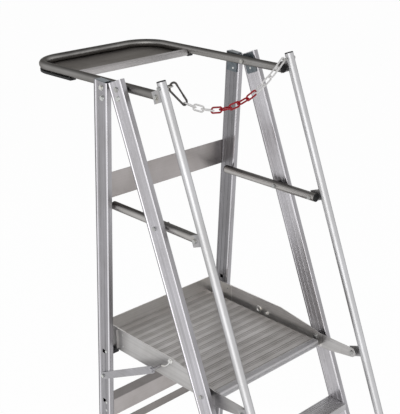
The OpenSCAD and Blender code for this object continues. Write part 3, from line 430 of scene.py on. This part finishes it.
rearLean = stileLooks["rear"]["lean"]
finishes = {
    "stileFront": stileAluminium("stileFront", stileLooks["front"]),
    "stileRear": stileAluminium("stileRear", stileLooks["rear"]),
    "sheetAcross": aluminium("sheetAcross", "sheet", "x"),
    "deckPlanks": deckAluminium("deckPlanks", frame["nodes"]["platform_planks"], deckReflectionBands),
    "treadAcross": aluminium("treadAcross", "tread", "x"),
    "braceUpper": braceAluminium("braceUpper", frame["nodes"]["rear_brace_upper"], rearLean, braceTopShade),
    "braceLower": braceAluminium("braceLower", frame["nodes"]["rear_brace_lower"], rearLean, braceTopShade),
    "stripAcross": aluminium("stripAcross", "strip", "x"),
    "toeAcross": aluminium("toeAcross", "toe", "x"),
    "plateDepth": plateAluminium("plateDepth", plateShadeLook),
    "lipAcross": aluminium("lipAcross", "lip", "x"),
    "traySheet": aluminium("traySheet", "tray", "x"),
    "guardTube": tubeAluminium("guardTube", "guard", hingePlace.z, tubeTopShade),
    "railTube": tubeAluminium("railTube", "rail", jointPlaces["mid_rail_left_turn"].z, tubeTopShade),
    "handrailTube": aluminium("handrailTube", "bright", "z", stileLooks["front"]["lean"]),
    "stayBar": aluminium("stayBar", "bar", "y"),
    # zinc is bluish zinc steel, its dark tone partly its own and partly painted shade of the recesses the hinge
    # plates sit in
    "zinc": zincSteel("zinc", (0.165, 0.185, 0.20), (0.105, 0.125, 0.138)),
    "bracketZinc": zincSteel("bracketZinc", (0.42, 0.415, 0.42), (0.31, 0.31, 0.315)),
    "bolt": zincSteel("bolt", (0.46, 0.465, 0.46), (0.34, 0.345, 0.34)),
    "brightZinc": zincSteel("brightZinc", (0.90, 0.90, 0.88), (0.80, 0.80, 0.785)),
    "rivet": zincSteel("rivet", (0.62, 0.63, 0.62), (0.48, 0.49, 0.48), smooth=0.45),
    "hookSteel": zincSteel("hookSteel", (0.105, 0.098, 0.095), (0.06, 0.055, 0.053)),
    "black": blackPlastic("black"),
    "chainWhite": chainPlastic("chainWhite", (0.80, 0.79, 0.78), (0.68, 0.67, 0.66)),
    "chainRed": chainPlastic("chainRed", (0.40, 0.010, 0.022), (0.28, 0.007, 0.014)),
}

nodeFinishes = {
    "stileFront": ["front_stile_left", "front_stile_right"],
    "stileRear": ["rear_stile_left", "rear_stile_right"],
    "sheetAcross": ["rear_plate"],
    "braceUpper": ["rear_brace_upper"],
    "braceLower": ["rear_brace_lower"],
    "stripAcross": ["rear_brace_strip"],
    "deckPlanks": ["platform_planks"],
    "treadAcross": ["tread_lower", "tread_middle", "tread_upper", "platform_nosing"],
    "toeAcross": ["toe_board"],
    "lipAcross": ["tray_lip"],
    "plateDepth": ["side_plate_left", "side_plate_right"],
    "traySheet": ["tray_floor"],
    "guardTube": ["guard_rail"],
    "railTube": ["mid_rail_left", "mid_rail_right"],
    "handrailTube": ["handrail_left", "handrail_right"],
    "stayBar": ["stay_left", "stay_right"],
    "zinc": ["hinge_plate_front_left", "hinge_plate_front_right",
             "hinge_bracket_rear_left", "hinge_bracket_rear_right"],
    "bracketZinc": ["handrail_left_straps", "handrail_right_straps"],
    "bolt": ["hinge_bolts", "mid_rail_bolts", "platform_bolts", "platform_rivets", "tray_rivets",
             "handrail_left_bolts", "handrail_right_bolts"],
    "brightZinc": ["stay_nuts"],
    "rivet": ["front_rivets", "rear_rivets", "stay_bolts"],
    "hookSteel": ["carabiner", "carabiner_gate"],
    "black": ["front_foot_left", "front_foot_right", "rear_foot_left", "rear_foot_right", "mid_rail_spacers",
              "platform_spacers", "platform_rests", "rail_plugs", "tray_bumper", "mid_rail_left_plugs",
              "mid_rail_right_plugs", "handrail_left_caps", "handrail_right_caps"],
    "chainWhite": ["chain_white_left", "chain_white_right"],
    "chainRed": ["chain_red"],
}

for finish, names in nodeFinishes.items():
    for name in names:
        slots = frame["nodes"][name].data.materials
        slots.clear()
        slots.append(finishes[finish])
print("finishes given to", sum(len(names) for names in nodeFinishes.values()), "nodes")

# the wire clip beside each stay's front pin: an arc on the outer face of the side plate, in metres
# places are behind and above the platform's pivot
clipLook = dict(wire=0.0046, start=(0.196, 0.041), end=(0.243, 0.004), bend=0.062, out=0.2815, steps=14, sides=12)


def makeStayClip(name, side, look):
    pivot = jointPlaces["platform_fold"]
    first, last = (Vector((side * look["out"], pivot.y + y, pivot.z + z)) for y, z in (look["start"], look["end"]))
    chord = last - first
    middle = (first + last) / 2
    up = Vector((0, -chord.z, chord.y)).normalized()
    centre = middle + up * math.sqrt(look["bend"] ** 2 - (chord.length / 2) ** 2)
    sweep = 2 * math.asin(chord.length / 2 / look["bend"])
    plan = bmesh.new()
    bmesh.ops.create_circle(plan, cap_ends=True, segments=look["sides"], radius=look["wire"] / 2)
    along = Vector((1, 0, 0)).cross(first - centre).normalized()
    bmesh.ops.rotate(plan, verts=plan.verts, cent=(0, 0, 0), matrix=along.to_track_quat("Z", "X").to_matrix())
    bmesh.ops.translate(plan, verts=plan.verts, vec=first)
    bmesh.ops.spin(plan, geom=plan.verts[:] + plan.edges[:] + plan.faces[:], cent=centre, axis=(1, 0, 0),
                   angle=sweep, steps=look["steps"], use_merge=False)
    bmesh.ops.recalc_face_normals(plan, faces=plan.faces)
    mesh = bpy.data.meshes.new(name)
    plan.to_mesh(mesh)
    plan.free()
    for face in mesh.polygons:
        face.use_smooth = True
    mesh.materials.append(finishes["brightZinc"])
    clip = bpy.data.objects.new(name, mesh)
    bpy.context.scene.collection.objects.link(clip)
    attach(clip, "platform")


for clipName, clipSide in (("stay_clip_left", -1), ("stay_clip_right", 1)):
    makeStayClip(clipName, clipSide, clipLook)
print("stay clips done")

# the floor keeps a soft shadow, and is white to the camera and in reflections
floorLook = dict(size=30.0, colour=(0.90, 0.90, 0.90), rough=0.9, glow=0.97)


def whiteRays(tree):
    path = tree.nodes.new("ShaderNodeLightPath")
    seen = path.outputs["Is Camera Ray"]
    for kind in ("Is Glossy Ray", "Is Transmission Ray"):
        either = tree.nodes.new("ShaderNodeMath")
        either.operation = "MAXIMUM"
        tree.links.new(seen, either.inputs[0])
        tree.links.new(path.outputs[kind], either.inputs[1])
        seen = either.outputs[0]
    return seen


def makeFloor(look):
    mesh = bpy.data.meshes.new("floor")
    plan = bmesh.new()
    bmesh.ops.create_grid(plan, x_segments=1, y_segments=1, size=look["size"])
    plan.to_mesh(mesh)
    plan.free()
    floor = bpy.data.objects.new("floor", mesh)
    bpy.context.scene.collection.objects.link(floor)
    material, tree, shader = newMaterial("paleFloor")
    shader.inputs["Base Color"].default_value = (*look["colour"], 1)
    shader.inputs["Roughness"].default_value = look["rough"]
    glow = addNode(tree, "ShaderNodeEmission", Color=(1, 1, 1, 1), Strength=1.0)
    share = tree.nodes.new("ShaderNodeMath")
    share.operation = "MULTIPLY"
    share.inputs[1].default_value = look["glow"]
    tree.links.new(whiteRays(tree), share.inputs[0])
    mix = tree.nodes.new("ShaderNodeMixShader")
    tree.links.new(share.outputs[0], mix.inputs["Fac"])
    tree.links.new(shader.outputs["BSDF"], mix.inputs[1])
    tree.links.new(glow.outputs["Emission"], mix.inputs[2])
    output = [n for n in tree.nodes if n.type == "OUTPUT_MATERIAL"][0]
    tree.links.new(mix.outputs["Shader"], output.inputs["Surface"])
    mesh.materials.append(material)


makeFloor(floorLook)

# soft studio light: a tall lamp at the front left, one at the right, one behind, white walls and a grey ceiling
# mirrored lamps show in bright metal
lampLooks = {
    "lampKey": dict(place=(-3.2, -2.0, 2.4), aim=(0, 0, 1.6), width=3.4, height=5.4, power=70.0, mirrored=True),
    "lampFill": dict(place=(3.4, -2.4, 2.6), aim=(0, 0, 1.1), width=2.8, height=2.8, power=30.0, mirrored=False),
    "lampRear": dict(place=(-0.6, 3.6, 4.0), aim=(0, 0, 1.2), width=2.8, height=2.8, power=40.0, mirrored=False),
}
# ceiling is what the camera and metal see overhead
# wallTop and ceilingFrom are heights of the direction, 1 being straight up
worldLook = dict(colour=(0.84, 0.84, 0.85), strength=0.55, ceiling=(0.30, 0.295, 0.29),
                 wallTop=0.48, ceilingFrom=0.88)


def makeLamp(name, look):
    lamp = bpy.data.lights.new(name, "AREA")
    lamp.shape = "RECTANGLE"
    lamp.size = look["width"]
    lamp.size_y = look["height"]
    lamp.energy = look["power"]
    holder = bpy.data.objects.new(name, lamp)
    holder.visible_glossy = look["mirrored"]
    holder.location = look["place"]
    holder.rotation_euler = (Vector(look["aim"]) - Vector(look["place"])).to_track_quat("-Z", "Y").to_euler()
    bpy.context.scene.collection.objects.link(holder)


def makeWorld(look):
    world = bpy.data.worlds.new("studio")
    bpy.context.scene.world = world
    world.use_nodes = True
    tree = world.node_tree
    tree.nodes.clear()
    output = tree.nodes.new("ShaderNodeOutputWorld")
    light = addNode(tree, "ShaderNodeBackground", Color=(*look["colour"], 1), Strength=look["strength"])
    seen = addNode(tree, "ShaderNodeBackground", Strength=1.0)
    direction = tree.nodes.new("ShaderNodeTexCoord")
    height = tree.nodes.new("ShaderNodeSeparateXYZ")
    tree.links.new(direction.outputs["Generated"], height.inputs["Vector"])
    room = ramp(tree, height.outputs["Z"], (look["wallTop"], look["ceilingFrom"]), (white, look["ceiling"]))
    tree.links.new(room, seen.inputs["Color"])
    mix = tree.nodes.new("ShaderNodeMixShader")
    tree.links.new(whiteRays(tree), mix.inputs["Fac"])
    tree.links.new(light.outputs["Background"], mix.inputs[1])
    tree.links.new(seen.outputs["Background"], mix.inputs[2])
    tree.links.new(mix.outputs["Shader"], output.inputs["Surface"])


for lampName, lampLook in lampLooks.items():
    makeLamp(lampName, lampLook)
makeWorld(worldLook)
print("light and floor done")

# the photograph's viewpoint: angles in degrees, and the focal length in pixels of the 400 x 414 picture
# below is how far the middle of the lens is under the middle of the picture, in pixels too
cameraLook = dict(place=(-2.0645, -2.1616, 2.6713), heading=42.746, pitch=-23.380, roll=-0.906, focal=906.13,
                  height=414.0, below=33.0, sensor=36.0, far=100.0)


def makeCamera(look):
    data = bpy.data.cameras.new("camera")
    data.sensor_fit = "VERTICAL"
    data.sensor_height = look["sensor"]
    data.lens = look["focal"] * data.sensor_height / look["height"]
    data.shift_y = look["below"] / look["height"]
    data.clip_end = look["far"]
    camera = bpy.data.objects.new("camera", data)
    heading, pitch, roll = (math.radians(look[k]) for k in ("heading", "pitch", "roll"))
    forward = Vector((math.sin(heading) * math.cos(pitch), math.cos(heading) * math.cos(pitch), math.sin(pitch)))
    right = forward.cross(Vector((0, 0, 1))).normalized()
    up = right.cross(forward)
    right, up = right * math.cos(roll) + up * math.sin(roll), up * math.cos(roll) - right * math.sin(roll)
    turn = Matrix((right, up, -forward)).transposed().to_4x4()
    camera.matrix_world = Matrix.Translation(look["place"]) @ turn
    bpy.context.scene.collection.objects.link(camera)
    bpy.context.scene.camera = camera


makeCamera(cameraLook)
bpy.context.scene.view_settings.view_transform = "Standard"
